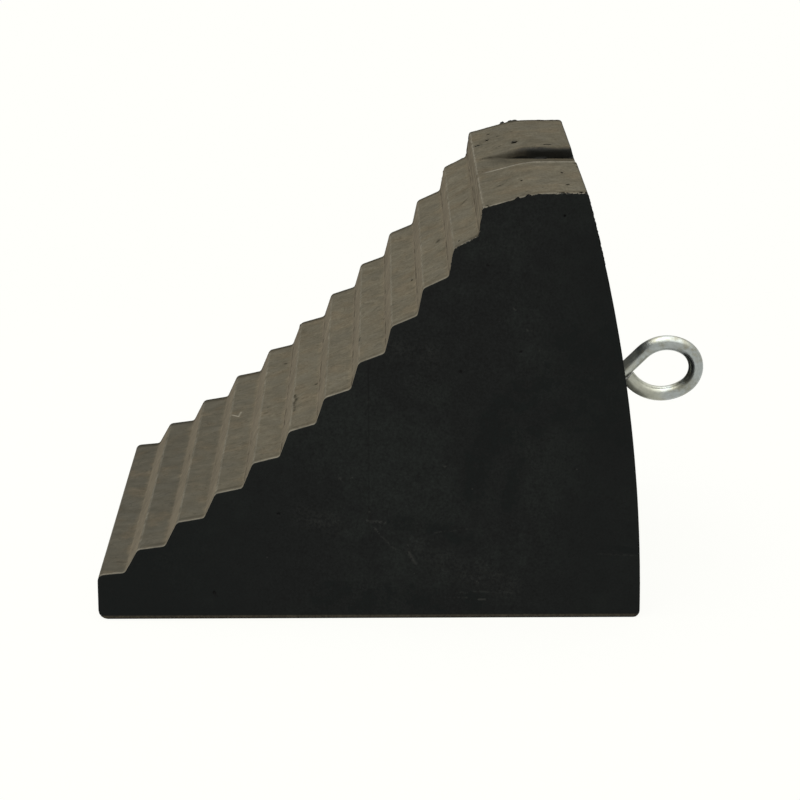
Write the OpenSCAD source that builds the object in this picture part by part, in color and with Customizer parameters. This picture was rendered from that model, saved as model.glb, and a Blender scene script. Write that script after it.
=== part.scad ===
// Moulded rubber wheel stop with a plated screw eye in its back.
// Origin: centre of the base, on the surface that it stands on.
// +X runs from the toe to the heel, +Y across the width and +Z up.

/* [Block] */
// Length of the base, from toe to heel
block_l = 260.4; // [220:0.2:320]
// Width of the base
block_w = 203; // [120:1:300]
// Height of the level part of the top
block_h = 206; // [180:1:240]
// Lean of each side towards the middle, for release from the mould
side_draft = 2.74; // [0:0.01:5]
// Radius of the curved back, which rises square from the base
back_r = 762; // [500:1:1500]
// Radius along the bottom edge of the toe
toe_edge_r = 4.4; // [0.5:0.1:8]
// Radius along the bottom edge of the heel
heel_edge_r = 3.2; // [0.5:0.1:8]

/* [Tread face] */
// Number of treads up the face
tread_count = 12; // [6:1:18]
// Radius of the hollow curve through the noses, a little more than a large tyre
tyre_r = 612; // [450:1:1200]
// Depth of the roots behind the noses
tread_depth = 6; // [2:0.1:10]
// Height of the lowest nose above the base
toe_h = 22; // [12:0.5:30]
// Place of each root between its two noses
root_share = 0.5; // [0.3:0.01:0.7]
// Radius of each nose below the highest
nose_r = 3.2; // [0.5:0.1:5]
// Radius in each root
root_r = 2.2; // [0.5:0.1:5]

/* [Top] */
// Length of the top, from the highest nose to the back
top_l = 48.7; // [30:0.1:70]
// Drop from the level part of the top to the highest nose
top_drop = 6.7; // [2:0.1:12]
// Slope of the front part of the top
top_slope = 15.5; // [10:0.5:30]
// Radius that blends the slope into the level part
top_blend_r = 50; // [5:1:60]
// Radius along the back edge of the top
top_edge_r = 1.8; // [0.5:0.1:8]
// Radius of the highest nose, where the top starts
crest_r = 1.6; // [0.5:0.1:5]

/* [Channel in the top] */
// Width of the channel
channel_w = 35.5; // [15:0.5:60]
// Depth of its floor below the level part of the top
channel_depth = 6; // [2:0.1:12]
// Radius of the corners at its front end, seen from above
channel_corner_r = 5; // [1:0.5:7]

/* [Screw eye] */
// Diameter of the wire
wire_d = 7.5; // [5:0.1:10]
// Height at which the shank leaves the curved back
eye_h = 92; // [50:1:140]
// Straight shank that shows between the rubber and the neck bend
neck_stand = 1.2; // [0.5:0.1:10]
// Radius of the neck bend, on the centre of the wire
neck_r = 6; // [5:0.1:10]
// Angle of the upper branch away from the shank
branch_angle = 38.4; // [32:0.1:48]
// Radius of the far end of the eye, on the centre of the wire
crown_r = 12.1; // [10:0.1:18]
// Radius of the upper shoulder of the eye
shoulder_r = 17.7; // [14:0.1:24]
// Radius of the lower branch of the eye
lower_r = 20.7; // [18:0.1:24]
// Angle above the shank's line at which the crown meets the shoulder
crown_up = 52; // [40:1:70]
// Angle below the shank's line at which the crown meets the lower branch
crown_down = 59; // [40:1:70]
// Gap between the cut end of the wire and the upper branch
end_gap = 0.4; // [0.2:0.1:2]
// Slant of that cut, which brings its near side closer to the upper branch
end_slant = 10; // [0:1:30]
// Loss of diameter where the wire is bent, doubled round the tighter crown
bend_thinning = 0.04; // [0.02:0.01:0.1]

/* [Shank in the rubber] */
// Length of shank inside the rubber, with its point
embed_l = 76; // [40:1:90]
// Length of thread, with the point
thread_l = 50; // [20:1:60]
// Outside diameter of the rolled thread
thread_d = 7.9; // [5:0.1:11]
// Length of the gimlet point
point_l = 9; // [4:0.5:15]
// Diameter of the flat at the very tip
tip_d = 0.8; // [0.4:0.1:2]
// Gap left round the shank in its hole
hole_fit = 0.1; // [0.05:0.05:0.4]

/* [Hidden] */
// Steps in each rounded corner of the side outline
corner_steps = 4;
// Steps along the curved back
back_steps = 24;
// Facets round the wire
wire_fn = 48;
// Facets round the large bends
bend_fn = 120;
// How far each cut runs past the face that it opens
over = 5;
// How far each bend runs on into the stretch of wire beside it
lap = 0.2;

// The back is an arc about a centre on the base line, so it rises square from the base
back_centre_x = block_l - back_r;
back_top_angle = asin(block_h / back_r);
back_top_x = back_centre_x + back_r * cos(back_top_angle);

// The noses lie on an arc through the lowest and the highest nose, about a centre outside the block
low_nose = [0, toe_h];
high_nose = [back_top_x - top_l, block_h - top_drop];
nose_chord = high_nose - low_nose;
tyre_rise = sqrt(tyre_r * tyre_r - nose_chord * nose_chord / 4);
tyre_centre = (low_nose + high_nose) / 2 + tyre_rise * [-nose_chord.y, nose_chord.x] / norm(nose_chord);
low_angle = bearing(low_nose - tyre_centre);
tread_pitch = (bearing(high_nose - tyre_centre) - low_angle) / (tread_count - 1);

// Where the sloping part of the top meets the level part
ridge_x = high_nose.x + top_drop / tan(top_slope);
channel_floor = block_h - channel_depth;
// The channel starts where the slope has risen to its floor, or at the highest nose
channel_start_x = high_nose.x + max(0, top_drop - channel_depth) / tan(top_slope);

// The shank leaves the back along the normal of its arc, so it points a little upwards
eye_tilt = asin(eye_h / back_r);
thread_start = embed_l - thread_l;

function bearing(v) = atan2(v.y, v.x);
function polar(radius, angle) = radius * [cos(angle), sin(angle)];
function on_back(angle) = [back_centre_x, 0] + polar(back_r, angle);
function nose(i) = tyre_centre + polar(tyre_r, low_angle + i * tread_pitch);
function root(i) = tyre_centre + polar(tyre_r + tread_depth, low_angle + (i + root_share) * tread_pitch);

// Points of an arc of radius r, tangent to both sides of the corner at b.
// The radius gives way where a side is too short for it.
function rounded(a, b, c, r) =
    let (
        to_a = (a - b) / norm(a - b),
        to_c = (c - b) / norm(c - b),
        half = acos(to_a * to_c) / 2,
        setback = min(r / tan(half), 0.45 * norm(a - b), 0.45 * norm(c - b)),
        fit_r = setback * tan(half),
        centre = b + (to_a + to_c) / norm(to_a + to_c) * fit_r / sin(half),
        from = bearing(b + to_a * setback - centre),
        turn = (cross(to_a, to_c) < 0 ? 1 : -1) * (180 - 2 * half)
    )
    [for (k = [0:corner_steps]) centre + polar(fit_r, from + turn * k / corner_steps)];

// Corners of the side outline with the radius of each, anticlockwise from the toe's bottom edge
outline_corners = concat(
    [[[0, 0], toe_edge_r], [[block_l, 0], heel_edge_r]],
    [for (k = [1:back_steps - 1]) [on_back(back_top_angle * k / back_steps), 0]],
    [[on_back(back_top_angle), top_edge_r], [[ridge_x, block_h], top_blend_r], [high_nose, crest_r]],
    [for (i = [tread_count - 2:-1:1]) each [[root(i), root_r], [nose(i), nose_r]]],
    [[root(0), root_r], [low_nose, nose_r]]
);

function outline_points(corners) =
    let (n = len(corners))
    [for (i = [0:n - 1]) each
        let (radius = corners[i][1])
        radius == 0
            ? [corners[i][0]]
            : rounded(corners[(i + n - 1) % n][0], corners[i][0], corners[(i + 1) % n][0], radius)];

// Puts a shape drawn from the toe into the part's own frame
module from_toe() {
    translate([-block_l / 2, 0, 0]) children();
}

// The side outline as a prism across the full width
module profile_prism() {
    rotate([90, 0, 0])
        linear_extrude(block_w, center = true)
            polygon(outline_points(outline_corners));
}

// The space between the two leaning sides
module drafted_sides() {
    inset = (block_h + over) * tan(side_draft);
    half_w = block_w / 2;
    translate([-over, 0, 0])
        rotate([90, 0, 90])
            linear_extrude(block_l + 2 * over)
                polygon([[-half_w, 0], [half_w, 0], [half_w - inset, block_h + over], [inset - half_w, block_h + over]]);
}

// The channel along the top, with rounded corners at its closed end
module channel() {
    length = block_l + over - channel_start_x;
    corner_y = channel_w / 2 - channel_corner_r;
    translate([channel_start_x, 0, channel_floor])
        linear_extrude(channel_depth + over) {
            translate([channel_corner_r, -channel_w / 2]) square([length - channel_corner_r, channel_w]);
            translate([0, -corner_y]) square([length, 2 * corner_y]);
            for (side = [-1, 1])
                translate([channel_corner_r, side * corner_y]) circle(channel_corner_r, $fn = wire_fn);
        }
}

// Turns a shape drawn along +X, with the back at X = 0, onto the curved back along the shank's line
module at_back() {
    translate([back_centre_x, 0, 0])
        rotate([0, -eye_tilt, 0])
            translate([back_r, 0, 0]) children();
}

// Shank inside the rubber, or with a gap round it the hole that it fills, mouth at X = 0
module shank_inside(gap, mouth) {
    plain_r = wire_d / 2 + gap;
    thread_r = thread_d / 2 + gap;
    rotate([0, -90, 0]) {
        translate([0, 0, -mouth]) cylinder(h = mouth + thread_start, r = plain_r, $fn = wire_fn);
        translate([0, 0, thread_start]) cylinder(h = thread_l - point_l, r = thread_r, $fn = wire_fn);
        translate([0, 0, embed_l - point_l]) cylinder(h = point_l, r1 = thread_r, r2 = tip_d / 2 + gap, $fn = wire_fn);
    }
}

// The moulded block, with the blind hole for the shank in its back
module rubber_block() {
    color([0.13, 0.13, 0.13])
        from_toe()
            difference() {
                intersection() {
                    profile_prism();
                    drafted_sides();
                }
                channel();
                at_back() shank_inside(hole_fit, over);
            }
}

// Wire bent to a radius about the origin, in the upright plane of the eye, and lapped at both ends
module bent_wire(radius, from, to, thinning) {
    lap_angle = lap / radius * 180 / PI;
    rotate([90, 0, 0])
        rotate([0, 0, from - lap_angle])
            rotate_extrude(angle = to - from + 2 * lap_angle, $fn = bend_fn)
                translate([radius, 0]) circle(d = wire_d - thinning, $fn = wire_fn);
}

// Places a shape at a point of the eye's upright plane
module in_plane(point) {
    translate([point.x, 0, point.y]) children();
}

// The eye and its neck bend, with the rubber's surface at X = 0.
// Crown, shoulder and lower branch are tangent arcs, and the crown's centre lies on the shank's line.
module bent_eye() {
    neck_back = neck_r * tan(branch_angle / 2);
    neck = [neck_stand + neck_back, 0];
    // Centres of the arcs and the end of the shoulder, seen from the crown's centre
    shoulder_centre = polar(crown_r - shoulder_r, crown_up);
    shoulder_end = shoulder_centre + polar(shoulder_r, 90 + branch_angle);
    lower_centre = polar(crown_r - lower_r, -crown_down);
    branch_l = shoulder_end.y / sin(branch_angle);
    crown_centre = neck - (shoulder_end - polar(branch_l, branch_angle));
    // The lower branch runs on to the line of the upper one, and is then cut off short of it
    to_branch = (crown_centre + lower_centre - neck) * polar(1, 90 + branch_angle);
    lower_end = branch_angle - 180 - asin(-to_branch / lower_r);
    reach = 2 * (crown_r + shoulder_r + lower_r);

    in_plane([neck_stand, neck_r]) bent_wire(neck_r, -90, branch_angle - 90, bend_thinning);
    in_plane(neck + polar(neck_back, branch_angle))
        rotate([0, 90 - branch_angle, 0]) cylinder(h = branch_l - neck_back, d = wire_d, $fn = wire_fn);
    in_plane(crown_centre + shoulder_centre) bent_wire(shoulder_r, crown_up, 90 + branch_angle, bend_thinning);
    in_plane(crown_centre) bent_wire(crown_r, -crown_down, crown_up, 2 * bend_thinning);
    difference() {
        in_plane(crown_centre + lower_centre) bent_wire(lower_r, lower_end, -crown_down, bend_thinning);
        in_plane(neck)
            rotate([0, -branch_angle, 0])
                rotate([-end_slant, 0, 0])
                    translate([-reach / 2, -reach / 2, -wire_d / 2 - end_gap]) cube(reach);
    }
}

// One length of wire: gimlet point, thread, plain shank, neck bend and closed eye
module screw_eye() {
    color([0.72, 0.73, 0.73])
        from_toe()
            at_back() {
                shank_inside(0, neck_stand);
                bent_eye();
            }
}

rubber_block();
screw_eye();
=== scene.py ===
"""Rubber wheel stop: the finish of the moulded block and of its plated screw eye.

Laid out as an add-on and run as a script. Lengths are in metres, in the part's own frame:
+X from the toe to the heel, +Y across the width, +Z up, with the origin in the middle of the base.
"""

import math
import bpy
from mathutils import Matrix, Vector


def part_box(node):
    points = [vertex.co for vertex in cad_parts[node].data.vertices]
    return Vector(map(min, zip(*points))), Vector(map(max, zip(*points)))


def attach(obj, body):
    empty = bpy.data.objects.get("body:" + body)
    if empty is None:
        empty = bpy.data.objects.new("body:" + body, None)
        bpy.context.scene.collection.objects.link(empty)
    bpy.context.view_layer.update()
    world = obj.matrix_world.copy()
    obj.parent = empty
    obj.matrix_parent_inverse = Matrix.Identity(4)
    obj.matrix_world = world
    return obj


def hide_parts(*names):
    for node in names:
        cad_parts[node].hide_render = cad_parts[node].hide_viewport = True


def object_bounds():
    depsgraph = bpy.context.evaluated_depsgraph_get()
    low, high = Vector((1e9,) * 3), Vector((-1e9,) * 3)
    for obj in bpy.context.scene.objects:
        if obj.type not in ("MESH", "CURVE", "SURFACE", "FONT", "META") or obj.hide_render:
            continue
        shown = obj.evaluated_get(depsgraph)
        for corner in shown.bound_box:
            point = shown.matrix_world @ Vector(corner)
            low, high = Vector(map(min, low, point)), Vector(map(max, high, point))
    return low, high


bl_info = {
    "name": "Rubber Wheel Stop",
    "version": (1, 0, 0),
    "blender": (4, 5, 0),
    "location": "3D View > Sidebar > Wheel Stop",
    "description": "Models and finishes a moulded rubber wheel stop with a plated screw eye",
    "category": "Object",
}

from collections import namedtuple

import bmesh
import bpy
from bpy.props import FloatProperty, FloatVectorProperty, IntProperty, PointerProperty
from mathutils import Matrix, Vector, kdtree, noise

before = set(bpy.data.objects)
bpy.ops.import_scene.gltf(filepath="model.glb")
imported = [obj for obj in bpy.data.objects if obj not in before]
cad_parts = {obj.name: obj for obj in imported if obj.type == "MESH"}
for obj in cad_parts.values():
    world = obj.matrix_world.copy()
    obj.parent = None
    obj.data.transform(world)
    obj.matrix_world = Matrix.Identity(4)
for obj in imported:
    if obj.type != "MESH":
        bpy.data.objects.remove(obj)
CAD_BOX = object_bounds()

MM = 0.001
X_AXIS = Vector((1, 0, 0))
Y_AXIS = Vector((0, 1, 0))
Z_AXIS = Vector((0, 0, 1))
WHITE = (1, 1, 1)
BLACK = (0.001, 0.001, 0.001)


def length(label, text, value_mm):
    """A length that a user can change, with its default in millimetres."""
    return FloatProperty(name=label, description=text, default=value_mm * MM, unit="LENGTH", precision=4)


def angle(label, text, degrees):
    """An angle that a user can change."""
    return FloatProperty(name=label, description=text, default=math.radians(degrees), subtype="ANGLE")


def share(label, text, value):
    """A plain factor that a user can change."""
    return FloatProperty(name=label, description=text, default=value, min=0, soft_max=1)


def colour(label, text, red, green, blue):
    """A colour that a user can change, with its default as it looks on a screen, from 0 to 255."""
    return FloatVectorProperty(
        name=label, description=text, subtype="COLOR", size=3, min=0, max=1,
        default=[from_screen(value) for value in (red, green, blue)],
    )


def from_screen(value):
    """The linear amount of a screen value from 0 to 255."""
    shown = value / 255
    return shown / 12.92 if shown <= 0.04045 else ((shown + 0.055) / 1.055) ** 2.4


class BlockShape(bpy.types.PropertyGroup):
    base_length: length("Base length", "Length of the base, from toe to heel", 260.4)
    half_width: length("Half width", "Half of the width at the base", 101.5)
    height: length("Height", "Height of the level part of the top", 206)
    draft: angle("Side draft", "Lean of each side towards the middle", 2.74)
    back_radius: length("Back radius", "Radius of the curved back", 762)
    tread_count: IntProperty(name="Treads", description="Number of treads up the face", default=12)
    tyre_radius: length("Tyre radius", "Radius of the hollow curve through the noses", 612)
    toe_height: length("Toe height", "Height of the lowest nose above the base", 22)
    top_length: length("Top length", "Length of the top, from the highest nose to the back", 48.7)
    top_drop: length("Top drop", "Drop from the level top to the highest nose", 6.7)
    top_angle: angle("Top slope", "Slope of the front part of the top", 15.5)
    channel_width: length("Channel width", "Width of the channel along the top", 35.5)
    channel_depth: length("Channel depth", "Depth of the channel's floor below the level top", 6)
    side_edge: length("Side edge radius", "Radius along the moulded edges of both sides", 0.35)
    near_rim: length("Near rim radius", "Radius of the crisp rim of the channel", 0.5)
    far_rim: length("Far rim radius", "Radius of the worn rim of the channel", 3)
    rim_start: length("Rim start", "Distance behind the highest nose where the rounded rims start", 3)
    far_wear: length("Far edge wear", "Most that wear has lowered the far edge of the top", 0.35)
    crumbly_above: length("Crumbly above", "Height above which the edges of both sides are crumbly", 172)
    sound_from: length("Sound from", "Where along the block those edges become sound", 54)
    sound_to: length("Sound to", "Where along the block those edges become crumbly again", 86)
    mould_line: length("Mould line", "Depth of the groove where the halves of the mould met", 0.15)
    cell: length("Cell", "Distance between the cuts that let the faces waver", 3)
    waver: length("Waver", "Most that a moulded face sinks below its true place", 0.15)


class EyeShape(bpy.types.PropertyGroup):
    wire: length("Wire", "Diameter of the wire", 7.5)
    height: length("Eye height", "Height at which the shank leaves the back", 92)
    neck_stand: length("Neck stand", "Straight shank between the rubber and the neck bend", 1.2)
    neck: length("Neck radius", "Radius of the neck bend", 6)
    branch: angle("Branch angle", "Angle of the upper branch away from the shank", 38.4)
    crown: length("Crown radius", "Radius of the far end of the eye", 12.1)
    shoulder: length("Shoulder radius", "Radius of the upper shoulder", 17.7)
    lower: length("Lower radius", "Radius of the lower branch", 20.7)
    crown_up: angle("Crown up", "Angle at which the crown meets the shoulder", 52)
    crown_down: angle("Crown down", "Angle at which the crown meets the lower branch", 59)
    end_gap: length("End gap", "Gap between the cut end and the upper branch", 0.4)
    end_slant: angle("End slant", "Slant that brings the near side of the cut closer to the upper branch", 10)
    embedded: length("Embedded length", "Length of shank inside the rubber", 76)
    thread_length: length("Thread length", "Length of thread, with the point", 50)
    thread: length("Thread diameter", "Outside diameter of the rolled thread", 7.8)
    thread_root: length("Thread root", "Diameter at the root of the thread", 6)
    thread_pitch: length("Thread pitch", "Distance from one thread to the next", 3.2)
    point: length("Point", "Length of the gimlet point", 9)
    tip: length("Tip", "Diameter of the flat at the tip", 0.8)


class RubberLook(bpy.types.PropertyGroup):
    side: colour("Side", "Clean moulded rubber of the sides", 17, 19, 18)
    rubbed: colour("Side, rubbed", "Rubber that handling has darkened", 4, 8, 7)
    bloom: colour("Side, bloomed", "Rubber with a grey-green bloom", 24, 27, 25)
    scuff: colour("Scuffs", "Pale scuffs and specks on the clean rubber", 74, 74, 70)
    tread: colour("Tread", "Dusty rubber on the treads and the top", 117, 111, 95)
    tread_low: colour("Tread, low", "Dusty rubber on the lowest treads", 101, 97, 85)
    riser: colour("Riser", "Dusty rubber on the steep side of each tread", 141, 132, 114)
    # Also the pale line just above the base, partly dust and partly painted light from the floor
    root: colour("Root", "Dust settled along the roots", 134, 123, 102)
    # Also the colour of the painted highlights along the near edge and the near rim of the channel
    worn: colour("Worn", "Pale, worn noses and edges", 158, 152, 136)
    ochre: colour("Ochre", "Yellow-brown patches in the dust", 131, 114, 89)
    slate: colour("Slate", "Cool grey patches in the dust", 113, 114, 108)
    # Also the colour of the painted shade above the roots, on the floor of the channel and over the far half
    # and the front of the top
    dirt: colour("Dirt", "Dirt in pits and scratches", 30, 27, 21)


class PlateLook(bpy.types.PropertyGroup):
    zinc: colour("Zinc", "Zinc plating", 158, 163, 161)
    dull: colour("Zinc, dull", "Plating where it has dulled", 134, 134, 122)
    # Painted reflection: a pale colour for the white surroundings mirrored in the plating at the cut end and
    # the neck
    painted_reflection: colour("Film", "Pale film on the plating close to the rubber", 200, 201, 184)
    roughness: share("Roughness", "Roughness of the plating", 0.3)


class StudioSetup(bpy.types.PropertyGroup):
    lens: FloatProperty(name="Lens", description="Focal length", default=112.65, subtype="DISTANCE_CAMERA")
    camera: FloatVectorProperty(
        name="Camera", description="Place of the camera", subtype="TRANSLATION", size=3,
        default=(0.0064, -1.2216, 0.4553),
    )
    tilt: angle("Tilt", "Angle of the camera below the horizon", 17.142)
    pan: angle("Pan", "Turn of the camera towards the heel", 0.43)
    roll: angle("Roll", "Turn of the camera about its line of sight", 0.056)
    paper: colour("Paper", "Colour of the floor and the surroundings", 255, 255, 251)
    floor_drop: length("Floor drop", "Distance of the floor below the base", 0.2)
    ambient: share("Ambient", "Level of the light from all round", 0.36)
    canopy: share("Canopy", "Brightness of the canopy overhead in reflections", 2.8)
    key: FloatProperty(
        name="Key light", description="Power of the large lamp overhead", default=17, unit="POWER",
    )


def settings():
    """The scene's own copy of each group of values."""
    scene = bpy.context.scene
    return {name: getattr(scene, "wheel_stop_" + name) for name in GROUPS}


def highest_nose(shape):
    """Distance along the block and height of the highest nose, where the top starts."""
    back_centre = shape.base_length / 2 - shape.back_radius
    back_top = back_centre + math.sqrt(shape.back_radius ** 2 - shape.height ** 2)
    return back_top - shape.top_length, shape.height - shape.top_drop


def tread_arc(shape):
    """Centre of the arc of the noses, the angle of the lowest nose and the angle between two noses."""
    low = Vector((-shape.base_length / 2, shape.toe_height))
    high = Vector(highest_nose(shape))
    chord = high - low
    rise = math.sqrt(shape.tyre_radius ** 2 - chord.length_squared / 4)
    centre = (low + high) / 2 + rise * Vector((-chord.y, chord.x)).normalized()
    first = math.atan2(low.y - centre.y, low.x - centre.x)
    last = math.atan2(high.y - centre.y, high.x - centre.x)
    return centre, first, (last - first) / (shape.tread_count - 1)


def side_depth(shape, point):
    """Distance of a point inside the leaning side nearest to it, measured across the width."""
    return shape.half_width - point.z * math.tan(shape.draft) - abs(point.y)


def ease(value):
    """Eases a value from 0 to 1 in and out, and holds it between them."""
    value = min(max(value, 0), 1)
    return value * value * (3 - 2 * value)


# The block

def block_from_frame():
    """A merged copy of the CAD block, with its flat faces whole again."""
    bm = bmesh.new()
    bm.from_mesh(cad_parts["rubber_block"].data)
    bmesh.ops.remove_doubles(bm, verts=bm.verts, dist=0.002 * MM)
    bmesh.ops.dissolve_limit(bm, angle_limit=math.radians(0.05), verts=bm.verts, edges=bm.edges)
    return bm


def is_side(shape, face):
    return abs(face.normal.y) > 0.99 and abs(face.calc_center_median().y) > shape.channel_width


def bevel(bm, edges, radius, segments):
    """Rounds edges to a radius."""
    bmesh.ops.bevel(
        bm, geom=edges, offset=radius, offset_type="OFFSET", segments=segments, profile=0.5,
        affect="EDGES", material=-1, clamp_overlap=True,
    )


def round_sides(bm, shape):
    """Rounds the edges all round both sides, as the mould leaves them."""
    edges = [edge for edge in bm.edges if sum(is_side(shape, face) for face in edge.link_faces) == 1]
    bevel(bm, edges, shape.side_edge, 3)


def cut(bm, faces, place, across):
    """Cuts the faces along the plane through a place, square to a direction."""
    parts = set(faces)
    for face in faces:
        parts.update(face.edges)
        parts.update(face.verts)
    bmesh.ops.bisect_plane(bm, geom=list(parts), dist=0.02 * MM, plane_co=place, plane_no=across)


def cut_cells(bm, cell):
    """Cuts every face into cells along the three axes."""
    low, high = CAD_BOX
    for axis, across in enumerate((X_AXIS, Y_AXIS, Z_AXIS)):
        count = int((high[axis] - low[axis]) / cell)
        for step in range(1, count + 1):
            place = Vector((0, 0, 0))
            place[axis] = low[axis] + (step - 0.5) * cell
            geom = bm.verts[:] + bm.edges[:] + bm.faces[:]
            bmesh.ops.bisect_plane(bm, geom=geom, dist=0.02 * MM, plane_co=place, plane_no=across)


def cut_rim_rows(bm, shape):
    """Rows of cuts along both rims of the channel, close enough to round them."""
    wall = shape.channel_width / 2
    for offset in (0.15, 0.35, 0.6, 1.0, 1.5, 2.1, 2.8):
        for side in (-1, 1):
            line = side * (wall + offset * MM)
            top = [
                face for face in bm.faces
                if face.normal.z > 0.5 and abs(face.calc_center_median().y - line) < 2 * shape.cell
            ]
            cut(bm, top, Vector((0, line, 0)), Y_AXIS)


def press_mould_line(bm, shape):
    """Presses a fine groove down both sides, where the halves of the mould met."""
    for place in (-0.3 * MM, 0.0, 0.3 * MM):
        cut(bm, [face for face in bm.faces if is_side(shape, face)], Vector((place, 0, 0)), X_AXIS)
    for vert in bm.verts:
        if abs(vert.co.x) < 0.1 * MM and 1 * MM < vert.co.z and side_depth(shape, vert.co) < 0.1 * MM:
            vert.co.y -= math.copysign(shape.mould_line, vert.co.y)


def round_rims(bm, shape):
    """Rounds the rims of the channel: the near one stays crisp, and the far one is worn soft."""
    floor = shape.height - shape.channel_depth
    front = highest_nose(shape)[0] + shape.rim_start
    for vert in bm.verts:
        gap = abs(vert.co.y) - shape.channel_width / 2
        if vert.co.x < front or gap < -0.01 * MM or vert.co.z < floor + 0.01 * MM:
            continue
        top = surface_height(shape, vert.co.x)
        radius = shape.far_rim if vert.co.y > 0 else shape.near_rim
        radius = min(radius, 0.7 * (top - floor))
        if gap > radius:
            continue
        drop = radius - math.sqrt(max(radius ** 2 - (radius - max(gap, 0)) ** 2, 0))
        if gap < 0.02 * MM:
            share_up = (vert.co.z - floor) / (top - floor)
            vert.co.z = floor + share_up * (top - floor - radius)
        else:
            vert.co.z -= drop


def surface_height(shape, x):
    """Height of the top at a distance along the block: the slope, and then the level part."""
    nose_x, nose_z = highest_nose(shape)
    return min(shape.height, nose_z + (x - nose_x) * math.tan(shape.top_angle))


Mark = namedtuple("Mark", "start end width strength kind")
MARK_KINDS = ("rub", "bloom", "scuff", "dirt", "pit")


def marks(kind, rows):
    """Marks of one kind, from rows of both ends, half width and strength, in millimetres."""
    return [Mark(Vector(start) * MM, Vector(end) * MM, width * MM, strength, kind)
            for start, end, width, strength in rows]


def near_side_marks(kind, shape, rows):
    """Marks given by the X and Z of both ends alone, put onto the leaning near side."""
    lean, half = math.tan(shape.draft), shape.half_width / MM
    ends = [((x0, z0 * lean - half, z0), (x1, z1 * lean - half, z1), *rest) for x0, z0, x1, z1, *rest in rows]
    return marks(kind, ends)


# On the near side: the X and Z of both ends in millimetres, half width and strength
RUBS = [
    (49, 64, 52, 76, 9, 1.0), (52, 78, 57, 94, 8, 1.0), (58, 96, 66, 107, 8, 1.0), (66, 108, 82, 117, 7, 0.9),
    (84, 120, 98, 122, 8, 0.8), (100, 124, 120, 127, 13, 0.8), (66, 100, 76, 106, 6, 0.6),
    (72, 90, 82, 97, 6, 0.6), (61, 84, 66, 90, 6, 0.6), (72, 79, 69, 70, 5, 0.7), (68, 64, 64, 57, 6, 0.8),
    (104, 112, 116, 92, 13, 0.8), (88, 104, 96, 96, 7, 0.6), (90, 138, 102, 134, 10, 0.7),
    (112, 140, 108, 152, 8, 0.5), (-20, 11, 20, 9, 9, 0.7), (24, 10, 53, 8, 7, 0.6), (13, 49, 45, 41, 5, 0.7),
    (109, 36, 128, 33, 2, 0.8),
]
BLOOMS = [
    (-8, 92, 24, 60, 32, 1.0), (34, 110, 24, 114, 10, 0.9), (82, 60, 92, 84, 18, 0.9),
    (70, 92, 76, 84, 9, 0.7), (-14, 51, -4, 46, 10, 0.7), (60, 30, 90, 40, 18, 0.5),
    (88, 140, 70, 148, 13, 0.5),
]
SCUFFS = [
    (2.6, 45.2, 5.0, 42.0, 0.8, 0.9), (5.0, 42.0, 12.5, 34.5, 0.6, 0.5), (-1.0, 48.7, 7.5, 48.0, 1.0, 0.55),
    (18.5, 36.7, 19.0, 33.0, 0.8, 0.5), (19.0, 33.0, 21.4, 28.2, 1.1, 0.7),
    (31.4, 42.8, 47.5, 44.8, 0.6, 0.4), (51.6, 18.5, 52.0, 18.0, 0.9, 0.9),
    (48.7, 20.5, 51.0, 17.5, 1.2, 0.35), (50.0, 13.4, 64.6, 12.6, 0.6, 0.4),
    (36.8, 10.5, 46.9, 10.2, 0.6, 0.4), (52.6, 9.4, 57.0, 9.2, 0.8, 0.7), (58.0, 14.5, 71.0, 12.0, 0.6, 0.3),
    (52.0, 23.0, 53.0, 19.5, 1.0, 0.35), (42.0, 13.2, 47.0, 12.6, 0.7, 0.35),
    (60.0, 19.0, 63.0, 22.0, 1.2, 0.25), (35.5, 75.5, 36.6, 75.8, 0.7, 1.0),
    (-14.5, 70.1, -14.0, 70.0, 0.7, 0.9), (-8.4, 70.1, -7.8, 70.2, 0.6, 0.9),
    (0.2, 53.2, 0.2, 55.0, 0.7, 0.8), (68, 152, 69, 151, 0.6, 0.6), (61, 146, 61.5, 146, 0.5, 0.6),
    (74, 142, 75, 141, 0.5, 0.5), (109.5, 32, 128, 31, 0.6, 0.25), (80, 132, 81, 131, 0.5, 0.4),
    (-0.2, 106.9, 0.0, 108.0, 0.5, 0.5), (8, 134, 30, 129, 7, 0.14), (-32, 52, -16, 47, 7, 0.16),
    (24, 36, 40, 26, 9, 0.12), (46, 24, 66, 16, 9, 0.16),
]
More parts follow.
